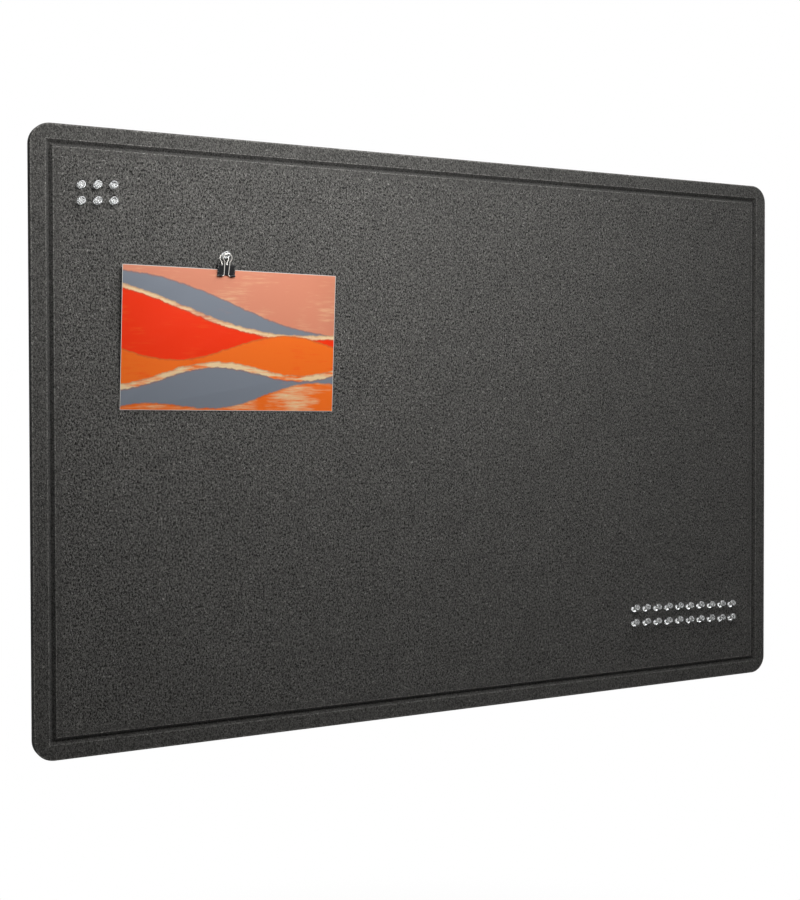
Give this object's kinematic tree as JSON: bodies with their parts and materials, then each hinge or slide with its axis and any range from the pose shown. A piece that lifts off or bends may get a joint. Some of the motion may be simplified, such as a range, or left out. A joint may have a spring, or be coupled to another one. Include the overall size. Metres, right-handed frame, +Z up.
{
  "type": "felt bulletin board",
  "caption": "Rectangular felt pin board with round corners and a V groove near its edge, clear push pins in two groups, and a card held by a small binder clip that hangs on a pin.",
  "frame": {"origin": "centre of the board's flat back face, which lies on the wall", "axes": "+X along the board's long side, to the right of someone facing it; +Y out of the back, into the wall; +Z up"},
  "size_m": [0.9, 0.0219, 0.6],
  "materials": {
    "felt": "charcoal needled felt, fine mottled fibres, matt",
    "clear_plastic": "clear moulded plastic, polished",
    "needle_steel": "bright drawn steel",
    "card": "printed card, satin",
    "clip_enamel": "black enamel on spring steel",
    "clip_wire": "bright plated wire"
  },
  "bodies": {
    "board": {"felt_board": "felt", "art_card": "card", "clip_body": "clip_enamel", "clip_rear_handle": "clip_wire", "corner_pin_1_head": "clear_plastic", "corner_pin_2_head": "clear_plastic", "corner_pin_3_head": "clear_plastic", "corner_pin_4_head": "clear_plastic", "corner_pin_5_head": "clear_plastic", "corner_pin_6_head": "clear_plastic", "row_pin_01_head": "clear_plastic", "row_pin_02_head": "clear_plastic", "row_pin_03_head": "clear_plastic", "row_pin_04_head": "clear_plastic", "row_pin_05_head": "clear_plastic", "row_pin_06_head": "clear_plastic", "row_pin_07_head": "clear_plastic", "row_pin_08_head": "clear_plastic", "row_pin_09_head": "clear_plastic", "row_pin_10_head": "clear_plastic", "row_pin_11_head": "clear_plastic", "row_pin_12_head": "clear_plastic", "row_pin_13_head": "clear_plastic", "row_pin_14_head": "clear_plastic", "row_pin_15_head": "clear_plastic", "row_pin_16_head": "clear_plastic", "row_pin_17_head": "clear_plastic", "row_pin_18_head": "clear_plastic", "row_pin_19_head": "clear_plastic", "row_pin_20_head": "clear_plastic", "clip_pin_head": "clear_plastic", "corner_pin_1_needle": "needle_steel", "corner_pin_2_needle": "needle_steel", "corner_pin_3_needle": "needle_steel", "corner_pin_4_needle": "needle_steel", "corner_pin_5_needle": "needle_steel", "corner_pin_6_needle": "needle_steel", "row_pin_01_needle": "needle_steel", "row_pin_02_needle": "needle_steel", "row_pin_03_needle": "needle_steel", "row_pin_04_needle": "needle_steel", "row_pin_05_needle": "needle_steel", "row_pin_06_needle": "needle_steel", "row_pin_07_needle": "needle_steel", "row_pin_08_needle": "needle_steel", "row_pin_09_needle": "needle_steel", "row_pin_10_needle": "needle_steel", "row_pin_11_needle": "needle_steel", "row_pin_12_needle": "needle_steel", "row_pin_13_needle": "needle_steel", "row_pin_14_needle": "needle_steel", "row_pin_15_needle": "needle_steel", "row_pin_16_needle": "needle_steel", "row_pin_17_needle": "needle_steel", "row_pin_18_needle": "needle_steel", "row_pin_19_needle": "needle_steel", "row_pin_20_needle": "needle_steel", "clip_pin_needle": "needle_steel"},
    "front_handle": {"clip_front_handle": "clip_wire"}
  },
  "joints": [
    {"name": "front_handle_swing", "type": "hinge", "parent": "board", "child": "front_handle", "pos_m": [-0.2596, -0.01642, 0.16293], "axis": [0.9999, 0, -0.014], "range_deg": [0, 166]}
  ]
}
